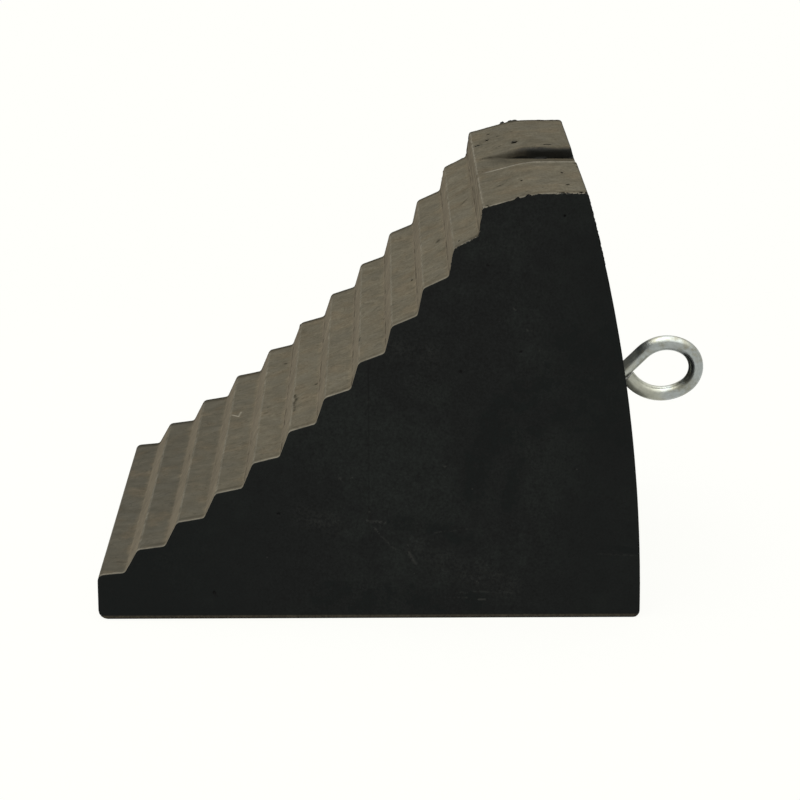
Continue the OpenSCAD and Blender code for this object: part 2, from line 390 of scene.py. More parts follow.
# On the treads and the top: both ends in millimetres, half width and strength
SMUDGES = [
    ((-36.5, -38.4, 93.3), (-36.5, -43, 93.3), 1.2, 0.75), ((-35.6, -45, 93.6), (-35.8, -49, 93.5), 1.1, 0.7),
    ((-36.6, -50, 93.3), (-36.5, -56, 93.3), 1.2, 0.65), ((-35.9, -59, 93.5), (-36.2, -66, 93.4), 1.0, 0.5),
    ((-4.6, -56, 125.5), (-4.6, -51, 126), 1.2, 0.7), ((-45.5, 62.2, 79.8), (-44.8, 61.5, 79.9), 1.3, 0.8),
    ((-58.8, -37.9, 68.1), (-58.2, -37, 68.2), 1.8, 0.6), ((-26.7, -30.7, 96.2), (-26, -30, 96.3), 1.1, 0.8),
    ((-52.4, -20.5, 78), (-52, -20, 78), 1.1, 0.7), ((34, -20, 164), (34.4, -13, 167), 1.4, 0.7),
    ((45.5, -14, 182), (50, -4, 187), 1.3, 0.5), ((62, 71, 201.8), (62.4, 72, 201.8), 1.2, 0.9),
    ((66.6, 60, 203), (67, 60.5, 203), 1.0, 0.8), ((66.4, 34.5, 203), (67, 34.7, 203.1), 1.1, 0.8),
    ((73.7, 63, 204.9), (74.2, 63, 205), 1.0, 0.6), ((62, -55.4, 201.7), (64, -54, 202.3), 1.4, 0.5),
    ((101.4, -31.3, 205.2), (101.4, -29.5, 205.2), 1.3, 0.9),
    ((101, -22.6, 205.5), (101, -21.5, 205.5), 1.3, 0.9), ((73.8, -81.6, 204.9), (74.6, -81, 205), 1.0, 0.5),
    ((67.4, -18.4, 202), (68, -18.2, 202.6), 1.0, 0.9), ((85.5, 18.6, 205.6), (87, 18.4, 205.2), 1.3, 0.9),
    ((84.5, -18.6, 206), (85.2, -18.4, 206), 0.8, 0.6),
    ((69.1, -91.7, 203.7), (69.3, -91.4, 204.2), 1.3, 1.0),
    ((74.2, -91.7, 204.7), (74.5, -91.4, 205), 1.4, 1.0),
]
HOOK = [
    ((-71.8, 25.5, 62.7), (-68.2, 20.4, 63.5), 0.7, 0.8),
    ((-68.2, 20.4, 63.5), (-67.3, 27.7, 63.7), 0.6, 0.6),
]
# Places in millimetres, then length, width and depth of each pit, and its turn from the profile
PITS = [
    ((74.2, 36.2, 205.0), 6.4, 3.2, 1.8, 70),
    ((61.1, 57.9, 201.5), 3.4, 1.8, 1.0, 80),
    ((55.9, 50.9, 200.1), 3.6, 2.2, 0.6, 10),
    ((72.9, -55.8, 204.7), 2.4, 1.3, 0.8, 90),
    ((93.0, -43.7, 206.0), 2.4, 1.5, 0.8, 90),
    ((93.8, -71.2, 206.0), 2.6, 2.0, 0.8, 60),
    ((90.9, 24.5, 206.0), 3.4, 1.5, 0.4, -25),
    ((42.6, -81.9, 181.6), 2.0, 1.1, 0.7, 90),
    ((21.3, -24.3, 148.0), 1.8, 0.9, 0.6, 90),
    ((7.5, -34.9, 130.9), 2.0, 1.0, 0.6, 80),
    ((-59.7, -48.4, 66.0), 2.4, 1.4, 0.7, 90),
    ((-94.0, 17.3, 43.1), 2.4, 1.4, 0.6, 90),
    ((55.7, -93.3, 172.3), 2.2, 1.2, 0.6, 25),
    ((43.4, -95.7, 121.7), 1.8, 1.3, 0.8, 0),
    ((71.5, -95.2, 131.2), 1.9, 1.2, 0.7, -40),
    ((-43.0, -99.0, 52.4), 1.7, 1.5, 0.8, 0),
    ((-74.4, -100.9, 13.1), 2.0, 1.4, 0.8, 0),
    ((91.2, -92.1, 195.7), 1.2, 1.0, 0.6, 0),
]
# Lumps of flash on the edges: place, reach and height in millimetres
LUMPS = [
    ((70.5, 91.6, 204.0), 1.5, 0.9), ((74.5, 91.6, 205.0), 1.6, 0.6), ((77.0, 91.6, 205.4), 1.8, 0.5),
    ((-38.3, 96.9, 91.0), 1.4, 0.7), ((69.1, -91.7, 203.9), 1.4, 0.7), ((74.2, -91.7, 204.9), 1.6, 0.8),
    ((79.0, -91.7, 205.8), 1.2, 0.4), ((85.0, -18.3, 206.0), 1.2, 0.3),
]


def block_marks(shape):
    """Every mark on the block. The pits and the lumps count as marks, so that the mesh is fine there."""
    found = near_side_marks("rub", shape, RUBS) + near_side_marks("bloom", shape, BLOOMS)
    found += near_side_marks("scuff", shape, SCUFFS) + marks("scuff", HOOK) + marks("dirt", SMUDGES)
    found += marks("", [(place, place, 0.5 * wide, 0.0) for place, _, wide, *_ in PITS])
    found += marks("", [(place, place, 0.6 * reach, 0.0) for place, reach, _ in LUMPS])
    return found


def off_mark(mark, place):
    """Distance of a place from the line of a mark."""
    line = mark.end - mark.start
    along = (place - mark.start).dot(line) / max(line.length_squared, 1e-12)
    return (place - mark.start - line * min(max(along, 0), 1)).length


def near_mark(tree, mark, reach):
    """The numbers of the places in a tree that lie within reach of a mark, with their distances."""
    middle = (mark.start + mark.end) / 2
    half = (mark.end - mark.start).length / 2
    for place, number, _ in tree.find_range(middle, half + reach):
        away = off_mark(mark, place)
        if away < reach:
            yield number, away


def tree_of(places):
    tree = kdtree.KDTree(len(places))
    for number, place in enumerate(places):
        tree.insert(place, number)
    tree.balance()
    return tree


def middle_of(edge):
    return (edge.verts[0].co + edge.verts[1].co) / 2


def refine(bm, shape, found):
    """Halves the edges near each mark until they are short beside its width."""
    cell = shape.cell
    narrowest = min(mark.width for mark in found)
    while cell > 0.7 * narrowest:
        bm.edges.ensure_lookup_table()
        tree = tree_of([middle_of(edge) for edge in bm.edges])
        numbers = set()
        for mark in found:
            if cell > 0.7 * mark.width:
                numbers.update(number for number, _ in near_mark(tree, mark, mark.width + 0.6 * cell))
        edges = [bm.edges[number] for number in numbers]
        bmesh.ops.subdivide_edges(bm, edges=edges, cuts=1, use_grid_fill=True)
        cell /= 2


def refine_edges(bm, shape, rounds):
    """Halves the edges along both sides of the top, where the edge is crumbly."""
    for step in range(rounds):
        reach = (3.0 - 0.5 * step) * MM
        edges = [
            edge for edge in bm.edges
            if middle_of(edge).z > shape.crumbly_above and abs(side_depth(shape, middle_of(edge))) < reach
            and abs(edge.link_faces[0].normal.y) < 0.9
        ]
        bmesh.ops.subdivide_edges(bm, edges=edges, cuts=1, use_grid_fill=True)


def paint(bm, found):
    """Writes how strongly each vertex is marked, by kind, for the material to read."""
    layers = {kind: bm.verts.layers.float.get(kind) or bm.verts.layers.float.new(kind) for kind in MARK_KINDS}
    bm.verts.ensure_lookup_table()
    tree = tree_of([vert.co for vert in bm.verts])
    for mark in found:
        if mark.kind:
            layer = layers[mark.kind]
            for number, away in near_mark(tree, mark, mark.width):
                vert = bm.verts[number]
                vert[layer] = max(vert[layer], mark.strength * min(1, 1.5 - 1.5 * away / mark.width))


def press_pit(bm, place, long, wide, deep, turn):
    """Presses an oval pit into the face nearest to a place, and paints it."""
    layer = bm.verts.layers.float.get("pit") or bm.verts.layers.float.new("pit")
    centre = Vector(place) * MM
    face = min(bm.faces, key=lambda f: (f.calc_center_median() - centre).length_squared)
    across = face.normal.copy()
    along = Z_AXIS if abs(across.y) > 0.9 else Y_AXIS.cross(across)
    along = Matrix.Rotation(math.radians(turn), 3, across) @ (along - along.project(across)).normalized()
    beside = across.cross(along)
    for vert in bm.verts:
        offset = vert.co - centre
        if offset.length > long * MM:
            continue
        ratio = math.hypot(2 * offset.dot(along) / (long * MM), 2 * offset.dot(beside) / (wide * MM))
        pressed = ease(1.9 - 1.6 * ratio)
        vert.co -= across * deep * MM * pressed
        vert[layer] = max(vert[layer], pressed)


def raise_lump(bm, place, reach, height):
    """Raises a small lump of flash on an edge."""
    centre = Vector(place) * MM
    for vert in bm.verts:
        away = (vert.co - centre).length / (reach * MM)
        if away < 1:
            vert.co.z += height * MM * ease(1.4 - 1.4 * away)


def crumble_edges(bm, shape):
    """Crumbles the near and far edges of the top and of the highest riser."""
    for vert in bm.verts:
        depth = side_depth(shape, vert.co)
        if vert.co.z < shape.crumbly_above or depth > 2 * MM:
            continue
        heavy = 0.3 if shape.sound_from <= vert.co.x <= shape.sound_to else 1.1
        rough = noise.noise(vert.co * 700 + Vector((4.1, 2.2, 8.3))) + 0.5 * noise.noise(vert.co * 350)
        near_edge = ease(1.4 - 0.7 * depth / MM)
        vert.co += vert.normal * min(rough * heavy, 0.15) * MM * near_edge
        if vert.co.y > 0 and vert.normal.z > 0.3:
            vert.co.z -= shape.far_wear * near_edge


def keep_inside(bm, node):
    """Moves back whatever reaches past the CAD piece's box."""
    low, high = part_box(node)
    for vert in bm.verts:
        for axis in range(3):
            vert.co[axis] = min(max(vert.co[axis], low[axis]), high[axis])


def waver_faces(bm, shape):
    """Sinks the faces a little, unevenly, and keeps the base flat."""
    moves = []
    for vert in bm.verts:
        if vert.co.z < 0.3 * MM:
            continue
        broad = noise.noise(vert.co * 22 + Vector((3.1, 7.7, 1.3)))
        fine = noise.noise(vert.co * 110 + Vector((9.2, 1.4, 5.8)))
        sink = shape.waver * (0.35 + 0.4 * broad + 0.2 * fine)
        moves.append((vert, vert.normal * -max(sink, 0)))
    for vert, move in moves:
        vert.co += move


def add_object(name, data):
    """A new object in the scene, for a mesh, a lamp or a camera."""
    made = bpy.data.objects.new(name, data)
    bpy.context.scene.collection.objects.link(made)
    return made


def finish_mesh(bm, name, material, smooth_under):
    """Makes a piece of a bmesh, smooth apart from its sharp edges."""
    bmesh.ops.triangulate(bm, faces=[face for face in bm.faces if len(face.verts) > 4])
    for face in bm.faces:
        face.smooth = True
    mesh = bpy.data.meshes.new(name)
    bm.to_mesh(mesh)
    bm.free()
    mesh.materials.append(material)
    mesh.set_sharp_from_angle(angle=smooth_under)
    piece = add_object(name, mesh)
    piece.modifiers.new("Even shading", "WEIGHTED_NORMAL").keep_sharp = True
    return piece


# Node helpers

class Value:
    """An output of a node. Arithmetic on it adds Math nodes."""

    def __init__(self, nodes, socket):
        self.nodes = nodes
        self.socket = socket

    def __add__(self, other):
        return self.nodes.math("ADD", self, other)

    def __sub__(self, other):
        return self.nodes.math("SUBTRACT", self, other)

    def __rsub__(self, other):
        return self.nodes.math("SUBTRACT", other, self)

    def __mul__(self, other):
        return self.nodes.math("MULTIPLY", self, other)

    def __truediv__(self, other):
        return self.nodes.math("DIVIDE", self, other)

    def __abs__(self):
        return self.nodes.math("ABSOLUTE", self)

    def fade(self, start, end):
        """0 up to start and 1 past end, eased between them."""
        inputs = {"Value": self, "From Min": start, "From Max": end}
        return self.nodes.result("ShaderNodeMapRange", inputs, interpolation_type="SMOOTHSTEP")

    def fade_mm(self, start, end):
        """A length faded in the same way, between two lengths in millimetres."""
        return self.fade(start * MM, end * MM)

    def spread(self, low, high):
        """A noise from 0.3 to 0.7, spread from low to high."""
        inputs = {"Value": self, "From Min": 0.3, "From Max": 0.7, "To Min": low, "To Max": high}
        return self.nodes.result("ShaderNodeMapRange", inputs)


class Nodes:
    """Adds nodes to a tree. A Value given for an input is linked to it, and anything else is a constant."""

    def __init__(self, tree):
        self.tree = tree

    def add(self, kind, inputs=None, **options):
        node = self.tree.nodes.new(kind)
        for key, value in options.items():
            setattr(node, key, value)
        for key, value in (inputs or {}).items():
            self.feed(node.inputs[key], value)
        return node

    def feed(self, socket, value):
        if isinstance(value, Value):
            self.tree.links.new(value.socket, socket)
        elif socket.type == "RGBA":
            socket.default_value = (*value, 1.0)
        else:
            socket.default_value = value

    def result(self, kind, inputs=None, output=0, **options):
        """One output of a new node."""
        return Value(self, self.add(kind, inputs, **options).outputs[output])

    def results(self, kind, inputs=None, **options):
        """Every output of a new node, by name."""
        return {socket.name: Value(self, socket) for socket in self.add(kind, inputs, **options).outputs}

    def math(self, operation, *values):
        return self.result("ShaderNodeMath", dict(enumerate(values)), operation=operation)

    def largest(self, first, *others):
        for other in others:
            first = self.math("MAXIMUM", first, other)
        return first

    def mix(self, factor, first, second, blend="MIX"):
        inputs = {0: factor, 6: first, 7: second}
        return self.result("ShaderNodeMix", inputs, 2, data_type="RGBA", blend_type=blend)

    def toned(self, base, parts):
        """A colour made lighter and darker by noises, each with its strength."""
        tone = 1 - sum(strength for _, strength in parts) / 2
        for value, strength in parts:
            tone = value * strength + tone
        grey = self.result("ShaderNodeCombineColor", {0: tone, 1: tone, 2: tone})
        return self.mix(1.0, base, grey, "MULTIPLY")

    def noise(self, place, size, detail=2.0, roughness=0.5):
        """Noise of a size in millimetres, which is the same along each axis or one for each."""
        sizes = [size] * 3 if isinstance(size, (int, float)) else size
        scale = [1 / (side * MM) for side in sizes]
        sized = self.result("ShaderNodeMapping", {"Vector": place, "Scale": scale})
        inputs = {"Vector": sized, "Scale": 1.0, "Detail": detail, "Roughness": roughness}
        return self.result("ShaderNodeTexNoise", inputs, "Fac")

    def axes(self, vector):
        return self.results("ShaderNodeSeparateXYZ", {0: vector})

    def group(self, tree, inputs):
        return self.results("ShaderNodeGroup", inputs, node_tree=tree)

    def bump(self, height, strength, distance):
        return self.result("ShaderNodeBump", {"Height": height, "Strength": strength, "Distance": distance})

    def surface(self, shader, output="ShaderNodeOutputMaterial"):
        self.add(output, {"Surface": shader})


def open_group(name, inputs):
    """A new shader node group and its inputs, given as names with their defaults, where None is a vector."""
    tree = bpy.data.node_groups.new(name, "ShaderNodeTree")
    for label, default in inputs.items():
        kind = "NodeSocketVector" if default is None else "NodeSocketFloat"
        socket = tree.interface.new_socket(name=label, in_out="INPUT", socket_type=kind)
        if default is not None:
            socket.default_value = default
    nodes = Nodes(tree)
    return nodes, nodes.results("NodeGroupInput")


def close_group(nodes, outputs):
    """Gives a node group its outputs, and returns the group."""
    for label in outputs:
        nodes.tree.interface.new_socket(name=label, in_out="OUTPUT", socket_type="NodeSocketFloat")
    nodes.add("NodeGroupOutput", outputs)
    return nodes.tree


def tooth_bands():
    """Masks of the risers, the roots, the painted shade just above them and the noses, and the treads
    climbed.
    """
    nodes, given = open_group("Tooth bands", {
        "Place": None, "Centre X": 0, "Centre Z": 0, "First Angle": 0, "Pitch": 1, "Radius": 1, "Sway": 0,
    })
    place = nodes.axes(given["Place"])
    bearing = nodes.math("ARCTAN2", place["Z"] - given["Centre Z"], place["X"] - given["Centre X"])
    climb = (bearing - given["First Angle"]) / given["Pitch"]
    phase = nodes.math("FRACT", climb + 1.0)
    swayed = nodes.math("FRACT", climb + 1.0 + given["Sway"])
    tooth = given["Pitch"] * given["Radius"]
    return close_group(nodes, {
        "Riser": phase.fade(0.47, 0.54) * phase.fade(1.0, 0.94),
        "Root": (abs(phase - 0.5) * tooth).fade_mm(2.4, 0.3),
        # Painted shade in the crease just above each root
        "Painted Shade": abs(swayed - 0.57).fade(0.08, 0.0),
        "Nose": ((0.5 - abs(swayed - 0.5)) * tooth).fade_mm(0.9, 0.2),
        "Climb": climb,
    })


def side_reach():
    """Distance inwards from the leaning side nearest to a place."""
    nodes, given = open_group("Side reach", {"Place": None, "Half Width": 0.1, "Lean": 0.05})
    place = nodes.axes(given["Place"])
    width = given["Half Width"] - place["Z"] * given["Lean"]
    return close_group(nodes, {"Distance": width - abs(place["Y"])})


def streaks():
    """Streaks that run up the face and bend a little, from noise pulled out along the profile."""
    nodes, given = open_group("Streaks", {"Place": None, "Bend": 13 * MM})
    sway = (nodes.noise(given["Place"], 24, 1.0) - 0.5) * given["Bend"] * 2.0
    shift = nodes.result("ShaderNodeCombineXYZ", {"Y": sway})
    bent = nodes.result("ShaderNodeVectorMath", {0: given["Place"], 1: shift}, operation="ADD")
    broad = nodes.noise(bent, (14, 6, 14), 2.0, 0.5)
    line = abs(nodes.noise(bent, (10, 4, 10)) - 0.5)
    return close_group(nodes, {
        "Fine": nodes.noise(bent, (5, 2, 5), 3.0, 0.6),
        "Broad": broad,
        "Hair": line.fade(0.03, 0.008) * broad.fade(0.42, 0.62),
    })


def specks():
    """Small round specks, scattered, with the share of cells that hold one."""
    nodes, given = open_group("Specks", {"Place": None, "Spacing": 0.01, "Size": 0.1, "Share": 0.3})
    scale = nodes.math("DIVIDE", 1.0, given["Spacing"])
    cells = nodes.results("ShaderNodeTexVoronoi", {"Vector": given["Place"], "Scale": scale})
    pick = nodes.results("ShaderNodeSeparateColor", {0: cells["Color"]})
    spot = 1 - cells["Distance"] / (given["Size"] * (pick["Green"] + 0.4))
    chosen = nodes.math("LESS_THAN", pick["Red"], given["Share"])
    return close_group(nodes, {"Mask": spot.fade(0.0, 0.5) * chosen})


def rubber_grain():
    """Height of the fine grain that the mould leaves in rubber."""
    nodes, given = open_group("Rubber grain", {"Place": None})
    fine = nodes.noise(given["Place"], 0.5, 3.0, 0.6)
    lumps = nodes.noise(given["Place"], 3.5, 2.0, 0.5)
    return close_group(nodes, {"Height": fine * 0.5 + lumps})


def emptied(owner):
    """The nodes of a material or a world, with none in them yet."""
    owner.use_nodes = True
    owner.node_tree.nodes.clear()
    return Nodes(owner.node_tree)


# Materials

class RubberMasks:
    """What the faces of the rubber need to know about a place on the block."""

    def __init__(self, nodes, shape, groups):
        self.place = nodes.result("ShaderNodeTexCoord", output="Object")
        axes = nodes.axes(self.place)
        self.x = axes["X"]
        self.y = axes["Y"]
        self.z = axes["Z"]
        self.normal = nodes.axes(nodes.result("ShaderNodeNewGeometry", output="Normal"))
        self.flank = abs(self.normal["Y"])
        self.off_middle = abs(self.y)
        self.off_wall = self.off_middle - shape.channel_width / 2
        nose_x, nose_z = highest_nose(shape)
        sloping = (self.x - nose_x) * math.tan(shape.top_angle) + nose_z
        self.below_top = nodes.math("MINIMUM", sloping, shape.height) - self.z
        self.side = nodes.group(groups["side"], {
            "Place": self.place, "Half Width": shape.half_width, "Lean": math.tan(shape.draft),
        })["Distance"]

        # Noises, from the broadest to the finest
        self.clouds = nodes.noise(self.place, 28, 3.0, 0.55)
        self.blotches = nodes.noise(self.place, 7, 3.0, 0.6)
        self.broken = nodes.noise(self.place, (6, 8, 6), 4.0, 0.65)
        self.crumb = nodes.noise(self.place, (1.6, 4, 1.6), 3.0, 0.6)
        self.mottle = nodes.noise(self.place, 1.5, 3.0, 0.65)
        self.grain = nodes.noise(self.place, 1, 1.0, 0.5).fade(0.3, 0.7)
        self.streaks = nodes.group(groups["streaks"], {"Place": self.place})

        # Places on the tread face, counted in treads from the lowest nose and from the highest
        centre, first, pitch = tread_arc(shape)
        self.bands = nodes.group(groups["bands"], {
            "Place": self.place, "Centre X": centre.x, "Centre Z": centre.y, "First Angle": first,
            "Pitch": pitch, "Radius": shape.tyre_radius, "Sway": (self.broken - 0.5) * 0.12,
        })
        self.climb = self.bands["Climb"]
        self.past_nose = self.climb - (shape.tread_count - 1)
        self.on_treads = self.past_nose.fade(0.04, -0.02) * self.climb.fade(-0.05, 0.0)

        # Marks painted on the mesh
        uneven = self.mottle.spread(0.45, 1.25)
        self.rub, self.bloom, scuff, dirt, pit = (
            nodes.result("ShaderNodeAttribute", output="Fac", attribute_name=kind) for kind in MARK_KINDS
        )
        self.scuff = scuff * uneven
        self.dirt = dirt * uneven
        self.pit = pit.fade(0.15, 0.5)


def bare_rubber_and_painted_wall_shade(nodes, shape, masks):
    """1 on clean moulded faces and, as painted shade, on the walls of the channel, and 0 where dust has
    settled, with ragged and faded borders.
    """
    middle = masks.off_middle.fade_mm(26, 24)
    ragged = (masks.mottle - 0.5) * 0.9 + masks.flank
    sides = ragged.fade(0.2, 0.5) * (1 - middle)

    # Painted shade: the walls of the channel get the black of clean rubber towards the heel and low down
    depth = (masks.blotches - 0.5) * (2 * MM) + masks.below_top
    heel_wall = (masks.blotches * (14 * MM) + masks.x).fade_mm(70, 90)
    walls = masks.flank.fade(0.1, 0.4) * depth.fade_mm(-0.3, 1.6) * middle
    walls = walls * nodes.largest(heel_wall, depth.fade_mm(3, 5)) * 0.95

    back = masks.normal["X"].fade(0.5, 0.8)
    under = masks.normal["Z"].fade(-0.1, -0.3)
    below_nose = masks.z.fade(shape.toe_height - 0.5 * MM, shape.toe_height - 2.5 * MM)
    toe = masks.normal["X"].fade(-0.8, -0.95) * below_nose
    hollow = masks.pit * masks.side.fade_mm(1, 2.5)
    return nodes.largest(sides, walls, back, under, toe) * (1 - hollow)


def bare_edges(nodes, masks):
    """1 where dust and rubber have crumbled off the edges, and less in a dark band along the far edges of the
    treads.
    """
    at_heel = masks.x.fade_mm(84, 92)
    on_riser = masks.x.fade_mm(58, 55) * masks.z.fade_mm(178, 192)
    reach = masks.side - (masks.crumb - 0.49) * (80 * MM)
    crumbs = reach.fade_mm(1.6, 0.8) * masks.side.fade_mm(5.5, 3)
    far_edge = masks.side.fade_mm(6, 1.5) * masks.y.fade_mm(0, 50)
    return nodes.largest(crumbs * nodes.largest(at_heel, on_riser), far_edge * 0.6)


def dust_colour(nodes, look, masks, hue):
    """Dust with patches of several colours, and paler on the risers and in the roots."""
    base = nodes.mix(masks.z.fade_mm(95, 18), look.tread, look.tread_low)
    base = nodes.mix(hue.fade(0.5, 0.7) * 0.2, base, look.ochre)
    base = nodes.mix(hue.fade(0.5, 0.3) * 0.12, base, look.slate)
    base = nodes.mix(masks.bands["Riser"] * masks.on_treads, base, look.riser)
    root = masks.bands["Root"] * masks.on_treads * masks.blotches.fade(0.2, 0.7)
    return nodes.mix(root * masks.clouds.spread(0.1, 0.5), base, look.root)


def pale_lines_and_painted_highlights(nodes, masks):
    """Pale lines along the noses, and painted highlights along the near edge and the near rim of the channel.
    """
    nose = masks.bands["Nose"] * masks.past_nose.fade(0.2, 0.1) * masks.broken.spread(-0.1, 1.1)
    nose = nose * (masks.past_nose.fade(-0.5, 0.0) * 0.4 + 0.6)
    # Painted highlight along the near edge
    edge = masks.side.fade_mm(2.6, 1.2) * masks.blotches.spread(0.3, 0.8)
    edge = edge * masks.y.fade_mm(-50, -80)
    # Painted highlight along the near rim of the channel
    rim = masks.off_wall.fade_mm(3, 1.5) * masks.off_wall.fade_mm(-1.2, -0.3)
    rim = rim * masks.y.fade_mm(0, -1) * masks.below_top.fade_mm(5, 2.5)
    rim = rim * masks.past_nose.fade(0.05, 0.2) * masks.blotches.spread(0.6, 1.0)
    return nodes.largest(nose, edge, rim)


def dirt_and_painted_shade(nodes, groups, masks):
    """Dirt in ledges, smudges, specks and scratches, with painted shade in the creases above the roots and on
    the floor of the channel.
    """
    rows = nodes.noise(masks.place, (1.1, 60, 1.1), 1.0, 0.5)
    ledge = rows.fade(0.48, 0.62) * masks.bands["Riser"] * masks.on_treads
    ledge = ledge * nodes.largest(masks.blotches.spread(0, 0.4), masks.past_nose.fade(-0.7, -0.4))

    # Painted shade: broken dark lines in the creases just above the roots of all but the lowest treads
    gaps = nodes.noise(masks.place, (8, 14, 8), 4.0, 0.65)
    painted_root_shade = (masks.bands["Painted Shade"] * gaps.spread(0.1, 1.6)).fade(0.6, 1.1)
    painted_root_shade = painted_root_shade * masks.on_treads * masks.climb.fade(1.0, 5.0)

    groove = masks.side.fade_mm(3, 4) * masks.side.fade_mm(7, 5) * masks.clouds.fade(0.4, 0.6)
    # Painted shade on the floor of the channel, darker towards its far wall
    floor = masks.off_wall.fade_mm(0, -0.5) * masks.past_nose.fade(0.1, 0.3)
    spots = nodes.group(groups["specks"], {
        "Place": masks.place, "Spacing": 9 * MM, "Size": 0.085, "Share": 0.4,
    })
    return nodes.largest(
        masks.dirt, ledge * 0.32, painted_root_shade * 0.55, groove * 0.25, floor * masks.y.fade_mm(-12, 17) * 0.35,
        spots["Mask"] * 0.5, masks.streaks["Hair"] * 0.22,
    )


def dusty_face(nodes, look, groups, masks):
    """Colour and relief of rubber under a layer of brown-grey dust."""
    hue = nodes.noise(masks.place, 13, 2.0, 0.5)
    # Pale noses, and painted highlights along the near edge and the near rim of the channel
    base = nodes.mix(pale_lines_and_painted_highlights(nodes, masks), dust_colour(nodes, look, masks, hue), look.worn)

    # Streaks and grit, stronger on the upper treads
    grit = nodes.noise(masks.place, (1.1, 2.6, 1.1), 2.0, 0.6)
    fine = nodes.toned(WHITE, [(masks.streaks["Fine"], 0.6), (grit, 0.55), (masks.grain, 0.06)])
    upper = masks.z.fade_mm(30, 160) * 1.1 + 0.5
    fine = nodes.mix(upper * hue.spread(0.4, 1.5), WHITE, fine)
    base = nodes.mix(1.0, base, fine, "MULTIPLY")
    base = nodes.toned(base, [(masks.clouds, 0.3), (masks.blotches, 0.4), (masks.streaks["Broad"], 0.4)])

    # Painted shade: the far half and the front of the top are a little darker
    painted_top_shade = nodes.largest(masks.y.fade_mm(0, 30), masks.x.fade_mm(82, 72))
    base = nodes.mix(painted_top_shade * masks.past_nose.fade(-0.02, 0.04) * 0.07, base, look.dirt)
    dirt = dirt_and_painted_shade(nodes, groups, masks)
    base = nodes.mix(dirt, base, look.dirt)
    gone = nodes.largest(masks.pit, bare_edges(nodes, masks))
    base = nodes.mix(gone, base, [0.4 * part for part in look.dirt])
    base = nodes.mix(masks.scuff * 0.8, base, [1.6 * part for part in look.worn])
    return base, masks.streaks["Fine"] - dirt * 1.5


def clean_face(nodes, look, groups, masks):
    """Colour of clean moulded rubber, with the rubs, blooms and scuffs of handling."""
    soft = nodes.noise(masks.place, 7, 5.0, 0.7)
    frayed = soft * 6.0 + masks.mottle * 1.6 - 3.8
    base = nodes.mix(masks.clouds.fade(0.45, 0.75), look.side, look.bloom)
    bloom = (frayed * 0.25 + masks.bloom).fade(0.2, 1.0) * masks.bloom.fade(0.0, 0.2)
    base = nodes.mix(bloom, base, look.bloom)

    # Rubs on the near side are painted, and those elsewhere come from noise
    rub = (frayed + masks.rub).fade(0.2, 0.9) * masks.rub.fade(0.0, 0.2)
    elsewhere = masks.clouds.fade(0.56, 0.7) * (1 - masks.y.fade_mm(-60, -80))
    base = nodes.mix(nodes.largest(rub * 0.85, elsewhere * 0.6), base, look.rubbed)
    base = nodes.toned(base, [(soft, 1.2), (masks.mottle, 2.4), (masks.grain, 0.5), (masks.clouds, 0.4)])
    ends = nodes.largest(masks.x.fade_mm(0, -110), masks.x.fade_mm(70, 110) * 0.55)
    base = nodes.mix(ends * masks.mottle.spread(0.4, 1.2), base, look.rubbed)

    spots = nodes.group(groups["specks"], {
        "Place": masks.place, "Spacing": 7 * MM, "Size": 0.06, "Share": 0.1,
    })
    scuff = masks.scuff * masks.blotches.spread(0.2, 1.1) * masks.mottle.fade(0.38, 0.56)
    base = nodes.mix(nodes.largest(scuff * 0.8, spots["Mask"] * 0.25), base, look.scuff)

    # The line where the halves of the mould met, and a pale line just above the base, partly dust and partly
    # painted light from the floor
    line = abs(masks.x).fade_mm(0.6, 0.2) * masks.blotches.spread(0.35, 0.9)
    line = line * (masks.z.fade_mm(20, 130) * 0.7 + 0.3)
    base = nodes.mix(nodes.largest(line * 0.8, masks.dirt, masks.pit), base, BLACK)
    # Partly painted light: a pale line just above the base for light that the floor throws onto the edge,
    # over a little dust
    foot = masks.z.fade_mm(0.35, 0.7) * masks.z.fade_mm(2, 1.4)
    foot = foot * masks.mottle.spread(0.3, 1.0) * masks.flank.fade(0.4, 0.7)
    return nodes.mix(foot * 0.35, base, look.root)


def moulded_rubber(look, shape, groups):
    """Black moulded rubber, clean on the sides and dusty wherever a tyre or a boot has been."""
    material = bpy.data.materials.new("moulded_rubber")
    nodes = emptied(material)
    masks = RubberMasks(nodes, shape, groups)
    # Clean rubber, with painted shade on the walls of the channel
    bare_and_wall_shade = bare_rubber_and_painted_wall_shade(nodes, shape, masks)
    dusty, relief = dusty_face(nodes, look, groups, masks)
    grain = nodes.group(groups["grain"], {"Place": masks.place})["Height"]
    nodes.surface(nodes.result("ShaderNodeBsdfPrincipled", {
        "Base Color": nodes.mix(bare_and_wall_shade, dusty, clean_face(nodes, look, groups, masks)),
        "Roughness": (1 - bare_and_wall_shade) * 0.25 + masks.clouds.spread(0.5, 0.62),
        "Specular IOR Level": 0.0,
        "Coat Weight": bare_and_wall_shade * 0.25,
        "Coat Roughness": 0.5,
        "Normal": nodes.bump(relief * (1 - bare_and_wall_shade) + grain, 0.3, 0.25 * MM),
    }))
    return material


